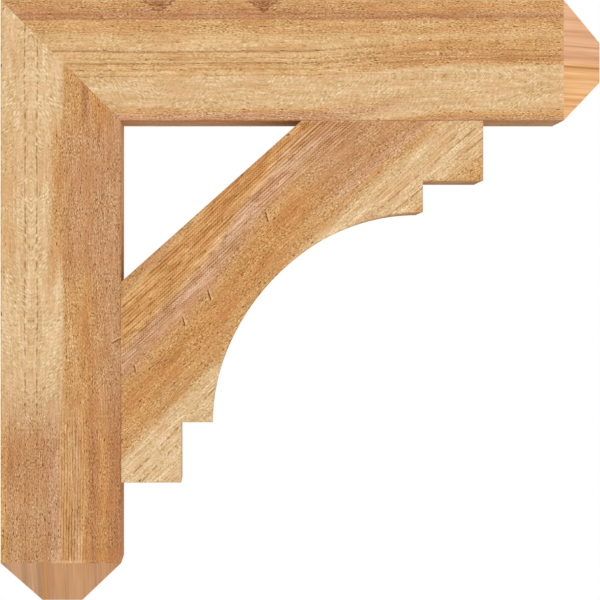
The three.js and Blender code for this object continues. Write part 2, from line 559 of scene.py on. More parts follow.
def brace_timber(name):
    levels = np.concatenate([[CORNER], np.linspace(EASE, SECTION - EASE, EDGE_COLUMNS), [SECTION - CORNER]])
    insets = np.concatenate([[CORNER], np.zeros(EDGE_COLUMNS), [CORNER]])[:, None]
    along, across = grain_position(outline)
    depth = (levels - HALF)[:, None]
    sunk = sawn_depth(along, across, depth, EDGE_RIBS, seed=24) * ease_step(0, EDGE_FADE, HALF - abs(depth))
    inset = insets + sunk
    x, z = (outline[:, k] - outward[:, k] * inset for k in (0, 1))
    edges = np.stack(np.broadcast_arrays(x, depth, z), axis=-1)

    count = len(rim)
    points = np.concatenate([front, edges.reshape(-1, 3), back])
    back_start = len(front) + sunk.size
    starts = np.concatenate([[0], len(front) + np.arange(len(levels)) * count, [back_start]])
    rings = starts[:, None] + np.arange(count)
    face_sets = [
        (faces_between(rings), SAWN),
        (flat_faces[:, ::-1], SAWN),
        (flat_faces + back_start, SAWN),
    ]
    relief = np.concatenate([front_sunk, sunk.ravel(), back_sunk])
    ribs = np.concatenate([front_ribs, np.full(sunk.size, EDGE_RIBS), back_ribs])
    face_edge = gap_to_ring(flat_points, outline[open_edge])
    edge = np.concatenate([face_edge, np.repeat(np.minimum(levels, SECTION - levels), count), face_edge])
    return new_piece(name, points, face_sets, relief=relief, ribs=ribs, edge=edge)


brace = brace_timber("brace_timber")

# %% [markdown]
# ## Wiring a material
#
# Every material below is a small network of nodes. A few helpers keep the lesson readable. One adds a
# node and fills its inputs, either with a plain value or with a link, and the others do arithmetic with
# it.

# %% Node helpers


def wire(tree, socket, value):
    """Gives an input a plain value, or links it to the output that is passed in."""
    if isinstance(value, bpy.types.NodeSocket):
        tree.links.new(value, socket)
    else:
        socket.default_value = value


def add_node(tree, kind, inputs, **settings):
    node = tree.nodes.new(kind)
    for name, value in settings.items():
        setattr(node, name, value)
    for name, value in inputs.items():
        wire(tree, node.inputs[name], value)
    return node


print("node helpers for Blender", bpy.app.version_string)

# %% Arithmetic helpers


def calc(tree, operation, *values):
    return add_node(tree, "ShaderNodeMath", dict(enumerate(values)), operation=operation).outputs[0]


def vector_calc(tree, operation, *values):
    return add_node(tree, "ShaderNodeVectorMath", dict(enumerate(values)), operation=operation).outputs


def product(tree, *values):
    return functools.reduce(lambda first, second: calc(tree, "MULTIPLY", first, second), values)


def gap(tree, first, second):
    """How far two values lie apart."""
    return calc(tree, "ABSOLUTE", calc(tree, "SUBTRACT", first, second))


def sway(tree, value, reach, middle):
    """The middle, moved to either side by up to half of the reach as value goes from 0 to 1."""
    return calc(tree, "MULTIPLY_ADD", calc(tree, "SUBTRACT", value, 0.5), reach, middle)


def remap(tree, value, low, high, low_out=0.0, high_out=1.0):
    """An eased ramp from low_out to high_out as value goes from low to high."""
    inputs = {"Value": value, "From Min": low, "From Max": high, "To Min": low_out, "To Max": high_out}
    return add_node(tree, "ShaderNodeMapRange", inputs, interpolation_type="SMOOTHSTEP").outputs[0]


def by_share(tree, share, at_none, at_full):
    return remap(tree, share, 0.0, 1.0, at_none, at_full)


def mix_colour(tree, blend, share, below, above):
    inputs = {0: share, 6: below, 7: above}
    return add_node(tree, "ShaderNodeMix", inputs, data_type="RGBA", blend_type=blend).outputs[2]


print("arithmetic helpers:", ", ".join(helper.__name__ for helper in (product, gap, sway, remap, by_share)))

# %% [markdown]
# Further helpers make noise that is longer along the grain than across it, and node groups with named
# sockets. A group is built once and then placed in each material with its own values.

# %% Noise and group helpers
SOCKET_KINDS = {float: "NodeSocketFloat", Vector: "NodeSocketVector", tuple: "NodeSocketColor"}
NOISE_ROUGHNESS = 0.6
AXES = {"Along": 0.0, "Across": 0.0, "Depth": 0.0}


def joined_axes(tree, axes):
    return add_node(tree, "ShaderNodeCombineXYZ", dict(enumerate(axes))).outputs[0]


def point_of(tree, axes, lump):
    """A texture point from along, across and depth, in lumps of the given size."""
    return vector_calc(tree, "DIVIDE", joined_axes(tree, axes), Vector(lump))["Vector"]


def noise(tree, axes, lump, detail=0.0):
    inputs = {"Vector": point_of(tree, axes, lump), "Scale": 1.0, "Detail": detail}
    return add_node(tree, "ShaderNodeTexNoise", {**inputs, "Roughness": NOISE_ROUGHNESS}).outputs[0]


def new_group(name, inputs, outputs):
    """A shader node group. Each socket comes with a default, which also sets its kind."""
    tree = bpy.data.node_groups.new(name, "ShaderNodeTree")
    for side, sockets in (("INPUT", inputs), ("OUTPUT", outputs)):
        for socket_name, default in sockets.items():
            kind = SOCKET_KINDS[type(default)]
            tree.interface.new_socket(socket_name, in_out=side, socket_type=kind).default_value = default
    print("group:", name)
    return tree, tree.nodes.new("NodeGroupInput").outputs, tree.nodes.new("NodeGroupOutput").inputs


def use_group(tree, group, **inputs):
    """Places a group. Its inputs are named in lower case, with _ for a space."""
    node = add_node(tree, "ShaderNodeGroup", {}, node_tree=group)
    for name, value in inputs.items():
        wire(tree, node.inputs[name.replace("_", " ").capitalize()], value)
    return node.outputs


print("socket kinds:", ", ".join(SOCKET_KINDS.values()))

# %% [markdown]
# ## Grain axes
#
# Wood is not painted on: the same rings and fibres show on every face that a saw opens. So the materials
# work from the point in space, turned into the timber's own directions. Along follows the grain, across
# goes over the front face from the outer edge, and depth goes from the front to the back, all in
# millimetres.

# %% Group: grain axes
OUT, UP = Vector((1, 0, 0)), Vector((0, 0, 1))


def grain_axes_group():
    inputs = {"Start": Vector(), "Along direction": OUT, "Across direction": UP}
    tree, given, made = new_group("Grain axes", inputs, AXES)
    point = tree.nodes.new("ShaderNodeTexCoord").outputs["Object"]
    offset = vector_calc(tree, "SUBTRACT", point, given["Start"])["Vector"]
    for name in ("Along", "Across"):
        distance = vector_calc(tree, "DOT_PRODUCT", offset, given[name + " direction"])["Value"]
        wire(tree, made[name], calc(tree, "DIVIDE", distance, MM))
    through = add_node(tree, "ShaderNodeSeparateXYZ", {0: point}).outputs["Y"]
    wire(tree, made["Depth"], calc(tree, "MULTIPLY_ADD", through, 1 / MM, HALF))
    return tree


grain_axes = grain_axes_group()

# %% [markdown]
# ## Growth bands
#
# Seen on the front, the rings of a tree are bands along the grain that waver a little. Going deeper into
# the timber they drift to one side, which is why top and bottom show wider, blurred bands. Folding the
# distance back at the end of its span keeps the pattern going without a seam. Spread opens the bands out
# like a fan, shift moves them all to one side, and two slow noises give the drift of light and dark and
# the blush that some patches have.

# %% Group: growth bands
RING_SLOPE = 0.25  # how far a ring moves across for each millimetre of depth
RING_SWAYS = (((230, 38, 38), 4.5), ((44, 9, 9), 1.2))  # lumps and reach of the slow and quick sway
DRIFT_LUMP = (70, 12, 50)
BLUSH_LUMP = (40, 45, 22)


def growth_bands_group():
    inputs = {**AXES, "Spread": 0.0, "Shift": 0.0, "Span": SECTION}
    tree, given, made = new_group("Growth bands", inputs, {"Band": 0.0, "Drift": 0.0, "Blush": 0.0})
    along, across, depth = (given[name] for name in AXES)
    fanned = calc(tree, "MULTIPLY_ADD", across, given["Spread"], calc(tree, "ADD", across, given["Shift"]))
    ring = calc(tree, "MULTIPLY_ADD", depth, RING_SLOPE, fanned)
    for lump, reach in RING_SWAYS:
        ring = sway(tree, noise(tree, (along, across, depth), lump), reach, ring)
    folded = calc(tree, "PINGPONG", ring, given["Span"])
    wire(tree, made["Band"], calc(tree, "DIVIDE", folded, given["Span"]))
    wire(tree, made["Drift"], noise(tree, (along, ring, depth), DRIFT_LUMP, 1.0))
    wire(tree, made["Blush"], noise(tree, (depth, along, ring), BLUSH_LUMP, 1.0))
    return tree


growth_bands = growth_bands_group()

# %% [markdown]
# ## Rough-sawn fibres
#
# The saw tears the fibres, so the face is covered with fuzz, streaks and flecks a millimetre or two wide.
# Part of the fuzz is grit, and part leans away from the heart line, like the barbs of a feather. Where
# the grain turns, the feather turns too, so the figure can be folded along the grain: at one place, or at
# two knots and half way between them. A fleck is a torn pit, painted dark as the shade inside it, and the
# fibre tip beside it, which stands up, gets a painted highlight. A texture of random cells places the
# flecks, and a random value for each cell decides which of them are there. Two broken lines run beside
# the heart, where the innermost rings lie.

# %% Flecks and heart lines
FLECK_CELL = (6.4, 2.3, 2.3)
FLECK_SOFT = 0.22  # width of a fleck's soft rim, as a share of its cell
FLECK_GROWTH = 0.3  # and how much wider than that the widest flecks are
FLECK_WEAKEST = 0.4
TIP_GAP = 0.9  # from a pit to the fibre tip beside it
LINE_GAP = 7.0  # from the heart to the broken line on either side of it
LINE_SWING = 3.0


def fleck_masks(tree, along, across, depth, share):
    """Torn pits as painted shade, and the fibre tips beside them, where no pit is, as painted highlight."""
    masks = []
    for beside in (0.0, TIP_GAP):
        place = (along, calc(tree, "ADD", across, beside), depth)
        inputs = {"Vector": point_of(tree, place, FLECK_CELL), "Scale": 1.0}
        cells = add_node(tree, "ShaderNodeTexVoronoi", inputs).outputs
        chance, size, strength = add_node(tree, "ShaderNodeSeparateColor", {0: cells["Color"]}).outputs
        reach = calc(tree, "MULTIPLY_ADD", size, FLECK_GROWTH, FLECK_SOFT)
        spot = remap(tree, cells["Distance"], reach, calc(tree, "SUBTRACT", reach, FLECK_SOFT))
        strong = calc(tree, "MULTIPLY_ADD", strength, 1 - FLECK_WEAKEST, FLECK_WEAKEST)
        masks.append(product(tree, spot, strong, calc(tree, "LESS_THAN", chance, share)))
    pit, tip = masks
    return pit, product(tree, tip, calc(tree, "SUBTRACT", 1.0, pit))


def heart_line(tree, along, from_heart, depth):
    line_at = sway(tree, noise(tree, (along, depth, depth), (90, 60, 60)), LINE_SWING, LINE_GAP)
    unbroken = remap(tree, noise(tree, (along, from_heart, depth), (7, 9, 40), 1.0), 0.4, 0.6)
    return product(tree, remap(tree, gap(tree, from_heart, line_at), 1.3, 0.3), unbroken)


print("a fleck's cell is", FLECK_CELL[0], "mm long and", FLECK_CELL[1], "mm wide")

# %% Group: rough-sawn fibres
GRIT_LUMP, BARB_LUMP, STREAK_LUMP = (2.7, 1.2, 1.2), (1.3, 4.2, 2.0), (34, 1.6, 1.6)
FUZZ_SOFT, FUZZ_FIRM = 0.4, 4.5  # how much of the faint and of the strong fuzz is kept
BARB_LEAN = 0.9  # how far a barb runs along the grain for each millimetre away from the heart
FLECK_LEAN = 0.3  # and a fleck
FLECK_BEND = 2.5  # how far the grit bends a fleck
FAR_BACK = -5000.0  # a fold that lies off the timber


def rough_fibres_group():
    inputs = {**AXES, "Heart": 0.0, "Fold at": FAR_BACK, "Fold reach": 0.0}
    inputs |= {"Barb share": 0.4, "Fleck share": 0.4}
    outputs = {"Fuzz": 0.0, "Streak": 0.0, "Fleck": 0.0, "Tip": 0.0, "Heart line": 0.0}
    tree, given, made = new_group("Rough-sawn fibres", inputs, outputs)
    axes = [given[name] for name in AXES]
    along, across, depth = axes
    from_heart = gap(tree, across, given["Heart"])
    folded = gap(tree, gap(tree, along, given["Fold at"]), given["Fold reach"])

    grit = noise(tree, axes, GRIT_LUMP, 1.5)
    leaning = calc(tree, "MULTIPLY_ADD", from_heart, BARB_LEAN, folded)
    barbs = noise(tree, (leaning, from_heart, depth), BARB_LUMP, 1.0)
    fuzz = calc(tree, "MULTIPLY_ADD", calc(tree, "SUBTRACT", barbs, grit), given["Barb share"], grit)
    firm = calc(tree, "MULTIPLY_ADD", gap(tree, fuzz, 0.5), FUZZ_FIRM, FUZZ_SOFT)
    wire(tree, made["Fuzz"], sway(tree, fuzz, firm, 0.5))
    wire(tree, made["Streak"], noise(tree, axes, STREAK_LUMP, 2.0))

    slanted = calc(tree, "MULTIPLY_ADD", from_heart, FLECK_LEAN, folded)
    bent = sway(tree, grit, FLECK_BEND, from_heart)
    pit, tip = fleck_masks(tree, slanted, bent, depth, given["Fleck share"])
    # Fleck is the mask of the pits' painted shade, and Tip the mask of the tips' painted highlight
    wire(tree, made["Fleck"], pit)
    wire(tree, made["Tip"], tip)
    wire(tree, made["Heart line"], heart_line(tree, folded, from_heart, depth))
    return tree


rough_fibres = rough_fibres_group()

# %% [markdown]
# ## Knots and nicks
#
# A knot is where a branch began: a darker, redder core with two dark rings. It is a pointed shape about
# four centimetres long in the solid wood, so it shows on every face that cuts it. A nick is a short gouge
# that the saw left across the grain on the front; the shadow in it is painted dark, and its lip gets a
# painted highlight. Either could be painted as an image, but a group that works from distances along and
# across can be placed anywhere.

# %% Groups: knots and nicks
KNOT_SIZE = Vector((19, 16, 12))  # half the knot's length, width and depth
KNOT_WAVER = 0.7  # how far its outline wavers, as a share of its size
KNOT_RINGS = (0.9, 0.55)
NICK_LEAN = 0.5  # how far a nick runs back along the grain for each millimetre across
NICK_WAVER = 3.0
LIP_GAP = 1.8  # from the middle of a nick to its lip


def knot_group():
    tree, given, made = new_group("Knot", {**AXES, "Place": Vector()}, {"Core": 0.0, "Outline": 0.0})
    axes = [given[name] for name in AXES]
    offset = vector_calc(tree, "SUBTRACT", joined_axes(tree, axes), given["Place"])["Vector"]
    scaled = vector_calc(tree, "DIVIDE", offset, KNOT_SIZE)["Vector"]
    spans = vector_calc(tree, "ABSOLUTE", scaled)["Vector"]
    radius = vector_calc(tree, "DOT_PRODUCT", spans, Vector((1, 1, 1)))["Value"]
    radius = sway(tree, noise(tree, axes, (6, 4, 4), 1.0), KNOT_WAVER, radius)
    wire(tree, made["Core"], remap(tree, radius, 1.2, 0.2))
    outer, inner = (remap(tree, gap(tree, radius, ring), 0.14, 0.03) for ring in KNOT_RINGS)
    wire(tree, made["Outline"], calc(tree, "MULTIPLY_ADD", inner, 0.6, outer))
    return tree


def nick_group():
    inputs = {**AXES, "Start along": 0.0, "Start across": 0.0, "Length": 10.0, "Lip side": 1.0}
    tree, given, made = new_group("Nick", inputs, {"Gouge": 0.0, "Lip": 0.0})
    run = calc(tree, "SUBTRACT", given["Across"], given["Start across"])
    back = calc(tree, "SUBTRACT", given["Along"], given["Start along"])
    ragged = noise(tree, (given["Along"], given["Across"], 0.0), (4, 3, 1), 1.0)
    beside = sway(tree, ragged, NICK_WAVER, calc(tree, "MULTIPLY_ADD", run, NICK_LEAN, back))
    half = calc(tree, "MULTIPLY", given["Length"], 0.5)
    past_end = calc(tree, "SUBTRACT", gap(tree, run, half), half)
    on_front = product(tree, remap(tree, past_end, 0.8, -0.8), remap(tree, given["Depth"], 4.0, 2.0))
    # Gouge is the mask of the nick's painted shadow, and Lip the mask of its painted highlight
    for name, place in (("Gouge", 0.0), ("Lip", calc(tree, "MULTIPLY", given["Lip side"], LIP_GAP))):
        wire(tree, made[name], product(tree, on_front, remap(tree, gap(tree, beside, place), 1.5, 0.5)))
    return tree


knot, nick = knot_group(), nick_group()

# %% [markdown]
# ## Shade on wood
#
# Wood in shade is not just darker: it turns warmer, because light that has gone through the fibres comes
# back redder. Raising the shade to a smaller power for red and a larger one for blue does that.

# %% Group: warm shade
SHADE_POWERS = (0.62, 1.0, 1.6)  # for red, green and blue
WHITE = (1.0, 1.0, 1.0, 1.0)


def warm_shade_group():
    tree, given, made = new_group("Warm shade", {"Colour": WHITE, "Shade": 1.0}, {"Colour": WHITE})
    parts = [calc(tree, "POWER", given["Shade"], power) for power in SHADE_POWERS]
    tint = add_node(tree, "ShaderNodeCombineColor", dict(enumerate(parts))).outputs[0]
    wire(tree, made["Colour"], mix_colour(tree, "MULTIPLY", 1.0, given["Colour"], tint))
    return tree


warm_shade = warm_shade_group()

# %% [markdown]
# ## Tones of the wood
#
# One plank of cedar runs from straw-coloured sapwood to russet heartwood. A short palette with plain
# names lets each timber say which tone it has at which distance from its edge. The tones are screen
# colours, and Blender mixes light linearly, so each is converted once.

# %% Palette
SCREEN_TONES = {
    "straw": (223, 186, 137),
    "tan": (218, 179, 129),
    "butter": (217, 175, 121),
    "gold": (209, 160, 103),
    "honey": (206, 154, 96),
    "orange": (202, 144, 84),
    "rose": (196, 145, 99),
    "mauve": (203, 153, 111),
    "brown": (197, 145, 96),
    "russet": (183, 125, 77),
    "seam": (176, 128, 82),
    # bright is only the painted highlight of fibre tips and nick lips; dark is the knots' rings and the
    # painted shade of pits and gouges
    "bright": (240, 208, 160),
    "dark": (120, 58, 14),
    "knot": (160, 92, 54),
    "blush": (255, 248, 247),
    "pink": (238, 182, 138),
    "pink line": (216, 155, 112),
    "amber": (246, 188, 130),
    "amber line": (226, 163, 100),
    "cut line": (190, 130, 76),
    "toast": (230, 171, 120),
}


def linear(channel):
    share = channel / 255
    return share / 12.92 if share <= 0.04045 else ((share + 0.055) / 1.055) ** 2.4


TONES = {name: (*map(linear, screen), 1.0) for name, screen in SCREEN_TONES.items()}
print(len(TONES), "tones")

# %% [markdown]
# ## Sawn cedar
#
# The colour of a timber is a list of bands across it, read through a colour ramp. Where one stretch of it
# differs from the rest, a further list fades in along the grain, with a ragged edge.

# %% Ramps and curves for a timber
RAGGED = 60.0  # how far the edge of a further list strays along the grain


def band_ramp(tree, band, bands, span):
    ramp = add_node(tree, "ShaderNodeValToRGB", {"Fac": band})
    stops = ramp.color_ramp.elements
    while len(stops) < len(bands):
        stops.new(1.0)
    for stop, (distance, tone) in zip(stops, bands):
        stop.position = min(1.0, distance / span)
        stop.color = TONES[tone]
    return ramp.outputs["Color"]


def along_curve(tree, along, points):
    """A value that follows the given (distance, value) points along the timber."""
    node = add_node(tree, "ShaderNodeFloatCurve", {"Value": calc(tree, "DIVIDE", along, LENGTH)})
    curve = node.mapping.curves[0]
    while len(curve.points) < len(points):
        curve.points.new(1.0, 1.0)
    for point, (distance, value) in zip(curve.points, points):
        point.location = (distance / LENGTH, value)
        point.handle_type = "VECTOR"
    node.mapping.update()
    return node.outputs["Value"]


def band_colour(tree, growth, along, span, bands, fades):
    """The tone of the bands. Each of the fades is a further list with its curve along the timber."""
    colour = band_ramp(tree, growth["Band"], bands, span)
    ragged = sway(tree, growth["Drift"], RAGGED, along)
    for further_bands, curve in fades:
        further = band_ramp(tree, growth["Band"], further_bands, span)
        colour = mix_colour(tree, "MIX", along_curve(tree, ragged, curve), colour, further)
    blush = remap(tree, growth["Blush"], 0.45, 0.7)
    return mix_colour(tree, "MULTIPLY", blush, colour, TONES["blush"])


print("the edge of a further list strays by up to", RAGGED / 2, "mm")

# %% [markdown]
# On top come the slow drift of tone, the streaks and the fuzz, and painted light from the mesh relief: its
# hollows are painted darker as shade and its ridges lighter as highlight. On ribs the fuzz is calmer and
# the streaks are stronger. Heartwood tears more than pale sapwood, and every wood tears most along its
# edges, which are also a little darker.

# %% Shade and torn marks
DARKEST = 0.25  # no hollow is darker than this share of its tone
FUZZ_IN_HEARTWOOD, FUZZ_IN_SAPWOOD = 3.0, 1.75  # contrast of the fuzz, to which feathering adds
NICK_INPUTS = ("start_along", "start_across", "length", "lip_side")
# Tips and lips are painted highlights, and a nick's gouge is painted shadow.
TIP_SHARE, GOUGE_SHARE, LIP_SHARE = 0.5, 0.85, 0.45  # how strongly a tip, a nick and its lip show


def sawn_shade(tree, growth, fibres, pale, feather, ribs, relief, edge):
    fuzz_contrast = product(
        tree,
        by_share(tree, pale, FUZZ_IN_HEARTWOOD, FUZZ_IN_SAPWOOD + feather),
        by_share(tree, ribs, 1.0, 0.4),
        remap(tree, growth["Blush"], 0.3, 0.7, 1.35, 0.7),
    )
    streak_contrast = product(
        tree, by_share(tree, ribs, 0.95, 1.5), by_share(tree, pale, 1.0, 1.3 - feather))
    ridge_highlight, groove_shade = by_share(tree, ribs, 1.1, 1.3), by_share(tree, ribs, 0.65, 0.36)
    shade = product(
        tree,
        remap(tree, growth["Drift"], 0.3, 0.7, 0.91, 1.09),
        # ribbed wood is lifted a little, to balance the painted shade in its grooves
        remap(tree, ribs, 0.0, 1 + RIB_BOOST, 1.0, 1.24),
        sway(tree, fibres["Fuzz"], fuzz_contrast, 1.0),
        sway(tree, fibres["Streak"], streak_contrast, 1.0),
        # painted light from the mesh relief: shade darkens the hollows, and a highlight lightens the ridges
        remap(tree, relief, 0.05, 0.75, ridge_highlight, groove_shade),
        remap(tree, edge, 0.2, 2.0, 0.8, 1.0),
    )
    return calc(tree, "MAXIMUM", shade, DARKEST)


def torn_marks(tree, fibres, pale, edge, nicks, grain):
    """Pits and gouges, painted dark as shade, and the tips and lips beside them, painted as highlight."""
    torn = calc(tree, "MAXIMUM", by_share(tree, pale, 0.8, 0.28), remap(tree, edge, 8.0, 2.0, 0.0, 0.9))
    pits = product(tree, fibres["Fleck"], torn)
    tips = product(tree, fibres["Tip"], torn, TIP_SHARE)
    for place in nicks:
        cut = use_group(tree, nick, **dict(zip(NICK_INPUTS, place)), **grain)
        pits = calc(tree, "MAXIMUM", pits, product(tree, cut["Gouge"], GOUGE_SHARE))
        tips = calc(tree, "MAXIMUM", tips, product(tree, cut["Lip"], LIP_SHARE))
    return pits, tips


print("a nick is placed by its", ", ".join(NICK_INPUTS))

# %% [markdown]
# Every finish starts with its grain axes and ends in one shader, so two helpers do that for all of them.
# The finest roughness is too small for the mesh, so the shader takes it as a bump.

# %% Start and end of a material


def start_material(name, axes):
    """A new material with its grain axes: the material, its tree, and along, across and depth."""
    material = bpy.data.materials.new(name)
    material.use_nodes = True
    tree = material.node_tree
    directions = dict(zip(("start", "along_direction", "across_direction"), axes))
    grain = dict(zip(("along", "across", "depth"), use_group(tree, grain_axes, **directions)))
    print("material:", name)
    return material, tree, grain


def finish_material(tree, colour, roughness, specular, height, bump):
    """Wires the shader. bump is the strength of the height, and its depth in millimetres."""
    shader = tree.nodes["Principled BSDF"]
    inputs = {"Strength": bump[0], "Distance": bump[1] * MM, "Height": height}
    wire(tree, shader.inputs["Normal"], add_node(tree, "ShaderNodeBump", inputs).outputs[0])
    wire(tree, shader.inputs["Base Color"], colour)
    wire(tree, shader.inputs["Roughness"], roughness)
    wire(tree, shader.inputs["Specular IOR Level"], specular)


print("a material takes its directions from", grain_axes.name)

# %% [markdown]
# One function puts the sawn finish together. Feather says how much of the pale wood's fuzz lies in barbs,
# and fold where the figure turns. Where the bands climb, as on the brace, the heart climbs nearly as far,
# and the fibres only a little.

# %% Sawn cedar material
HEART_CLIMB = 0.9  # the heart's share of the climb
KNOT_SHARE = 0.7  # how strongly a knot shows
FLECK_SHARE = 0.42  # share of the fleck cells that are torn
BARBS_IN_HEARTWOOD = 0.1  # share of its fuzz that lies in barbs
FLECK_RISE = 0.4  # height of a tip over the fuzz, and depth of a pit


def sawn_cedar(name, axes, span, bands, fades, heart, feather, heart_lines=0.0, fold=(FAR_BACK, 0.0),
               knots=(), nicks=(), **moves):
    """fades are (further bands, curve), knots and nicks are places, and moves gives the full amount and the
    curve of the bands' spread or shift."""
    material, tree, grain = start_material(name, axes)
    moved = {
        kind: product(tree, along_curve(tree, grain["along"], curve), amount)
        for kind, (amount, curve) in moves.items()
    }
    growth = use_group(tree, growth_bands, span=span, **moved, **grain)
    colour = band_colour(tree, growth, grain["along"], span, bands, fades)
    for place in knots:
        branch = use_group(tree, knot, place=Vector(place), **grain)
        for part, tone in (("Core", "knot"), ("Outline", "dark")):
            colour = mix_colour(tree, "MIX", product(tree, branch[part], KNOT_SHARE), colour, TONES[tone])
    green = add_node(tree, "ShaderNodeSeparateColor", {0: colour}).outputs[1]
    pale = remap(tree, green, 0.3, 0.5)

    fibre_grain = grain
    if "shift" in moved:
        climbing = calc(tree, "MULTIPLY_ADD", moved["shift"], FIBRE_CLIMB, grain["across"])
        fibre_grain = {**grain, "across": climbing}
        heart = calc(tree, "MULTIPLY_ADD", moved["shift"], FIBRE_CLIMB - HEART_CLIMB, heart)
    figure = dict(zip(("fold_at", "fold_reach"), fold), heart=heart, fleck_share=FLECK_SHARE)
    figure["barb_share"] = by_share(tree, pale, BARBS_IN_HEARTWOOD, feather)
    fibres = use_group(tree, rough_fibres, **figure, **fibre_grain)
    if heart_lines:
        colour = mix_colour(
            tree, "MIX", product(tree, fibres["Heart line"], heart_lines), colour, TONES["seam"])

    ribs, relief, edge = (
        add_node(tree, "ShaderNodeAttribute", {}, attribute_name=kept).outputs["Fac"]
        for kept in ("ribs", "relief", "edge")
    )
    shade = sawn_shade(tree, growth, fibres, pale, feather, ribs, relief, edge)
    colour = use_group(tree, warm_shade, colour=colour, shade=shade)["Colour"]
    # the pits and gouges are painted dark as shade, and the tips and lips painted bright as highlight
    pits, tips = torn_marks(tree, fibres, pale, edge, nicks, grain)
    for mask, tone in ((pits, "dark"), (tips, "bright")):
        colour = mix_colour(tree, "MIX", mask, colour, TONES[tone])
    height = calc(tree, "MULTIPLY_ADD", calc(tree, "SUBTRACT", tips, pits), FLECK_RISE, fibres["Fuzz"])
    roughness = remap(tree, fibres["Fuzz"], 0.2, 0.8, 0.8, 0.95)
    finish_material(tree, colour, roughness, specular=0.25, height=height, bump=(0.6, 0.7))
    return material


print("heartwood tears more than sapwood, by", FUZZ_IN_HEARTWOOD, "to", FUZZ_IN_SAPWOOD)

# %% [markdown]
# The arm's bands, from the top edge down, are honey, a rose band, gold, a run of thin dark seams, and a
# broad pale tan half that ends in a rosy lower edge. Towards the free end the seams sit in a broader
# honey band, and everything moves up a little. Two knots touch the top edge, and the feathered figure
# turns at each. The lists run on past the lower edge, at 140 mm, for the underside, and the tones they
# give it there are partly the wood's and partly painted light that brightens the underside in its shade.

# %% Finish of the arm
ARM_SPAN = 215.0
arm_near = [
    (0, "gold"), (3, "honey"), (11, "brown"), (14, "rose"), (17, "russet"), (19, "rose"), (22.6, "russet"),
    (24, "gold"), (38, "gold"), (43, "butter"), (52, "butter"), (58, "butter"), (60.3, "seam"),
    (61.8, "butter"), (66, "butter"), (68.4, "honey"), (71, "butter"), (72.8, "butter"), (74.2, "seam"),
    (75.6, "gold"), (79, "butter"), (81.7, "honey"), (84, "butter"), (87, "butter"), (89.2, "honey"),
    (91, "tan"), (124, "tan"), (131, "gold"), (136, "mauve"), (146, "mauve"), (149, "butter"),
    (156, "straw"),
]
arm_far = [
    (0, "gold"), (3, "honey"), (13, "honey"), (17, "rose"), (23, "russet"), (25, "rose"), (28, "gold"),
    (44, "gold"), (49, "butter"), (56, "gold"), (62, "honey"), (68.5, "honey"), (69.5, "seam"),
    (71, "honey"), (77, "honey"), (78, "seam"), (79.5, "honey"), (83.4, "russet"), (85, "honey"),
    (89, "gold"), (93, "tan"), (120, "tan"), (148, "tan"), (157, "honey"), (163, "rose"), (168, "brown"),
]
arm_axes = (Vector((0, 0, TOP)) * MM, OUT, -UP)
arm_fades = [(arm_far, [(0, 0), (360, 0), (500, 1), (LENGTH, 1)])]
arm_spread = (0.2, [(0, 0), (360, 0.1), (520, 1), (LENGTH, 1)])
KNOT_PLACES = (183, 304)  # along the arm's top edge
arm_fold = ((KNOT_PLACES[0] + KNOT_PLACES[1]) / 2, (KNOT_PLACES[1] - KNOT_PLACES[0]) / 2)
arm_sawn = sawn_cedar(
    "arm_sawn", arm_axes, ARM_SPAN, arm_near, arm_fades, heart=88.0, feather=0.75, fold=arm_fold,
    knots=[(along, 0, 0) for along in KNOT_PLACES], spread=arm_spread)

# %% [markdown]
# The post is pale on the wall side, with two thin lines close to its heart, and brown on the other. A
# third of the way down, the brown comes further over, and from the brace's lower toe on the whole face is
# brown, with a smooth mauve stripe. Three of the lists run on past 140 mm, for the side that faces the
# brace, and end there in lighter tones: painted light against the shade between the brace and the arm.

# %% Finish of the post
POST_SPAN = 180.0
post_main = [
    (0, "tan"), (4, "straw"), (66, "straw"), (71, "tan"), (75, "honey"), (90, "honey"), (100, "orange"),
    (118, "brown"), (132, "rose"), (140, "rose"), (150, "gold"),
]
post_top = [
    (0, "tan"), (4, "straw"), (66, "straw"), (71, "tan"), (74, "honey"), (92, "honey"), (96, "russet"),
    (101, "russet"), (105, "orange"), (120, "orange"), (130, "brown"), (140, "rose"), (150, "honey"),
]
post_middle = [
    (0, "tan"), (5, "butter"), (13, "butter"), (17, "tan"), (25.5, "straw"), (43.5, "straw"), (53, "tan"),
    (60, "gold"), (66, "honey"), (78, "brown"), (100, "brown"), (112, "rose"), (140, "rose"), (148, "gold"),
]
post_foot = [
    (0, "gold"), (5, "honey"), (9, "brown"), (40, "brown"), (56, "rose"), (60, "mauve"), (65, "mauve"),
    (74, "honey"), (90, "brown"), (95, "orange"), (106, "russet"), (118, "orange"), (131, "russet"),
    (140, "russet"),
]
post_axes = (Vector((0, 0, TOP)) * MM, -UP, OUT)
post_fades = [
    (post_top, [(0, 1), (150, 1), (190, 0), (LENGTH, 0)]),
    (post_middle, [(0, 0), (120, 0), (165, 1), (300, 1), (335, 0), (LENGTH, 0)]),
    (post_foot, [(0, 0), (440, 0), (510, 1), (LENGTH, 1)]),
]
post_nicks = [(397.4, 128.8, 10.6, -1.0)]
post_sawn = sawn_cedar(
    "post_sawn", post_axes, POST_SPAN, post_main, post_fades, heart=35.3, feather=0.75, heart_lines=1.0,
    fold=(220.0, 0.0), nicks=post_nicks)

# %% [markdown]
# The brace's grain follows its straight edge, and its bands climb towards that edge on the way to the
# arm. They go from ribbed orange wood, over a mauve stripe, to the pale wood of both toes, which has
# heart lines of its own. Near the arm, rose takes the place of the orange.

# %% Finish of the brace
BRACE_SPAN = 330.0
CLIMB_FULL = 100.0  # the shift is a curve from 0 to 1, times this


def in_front_plane(point):
    return Vector((point[0], 0, point[1]))


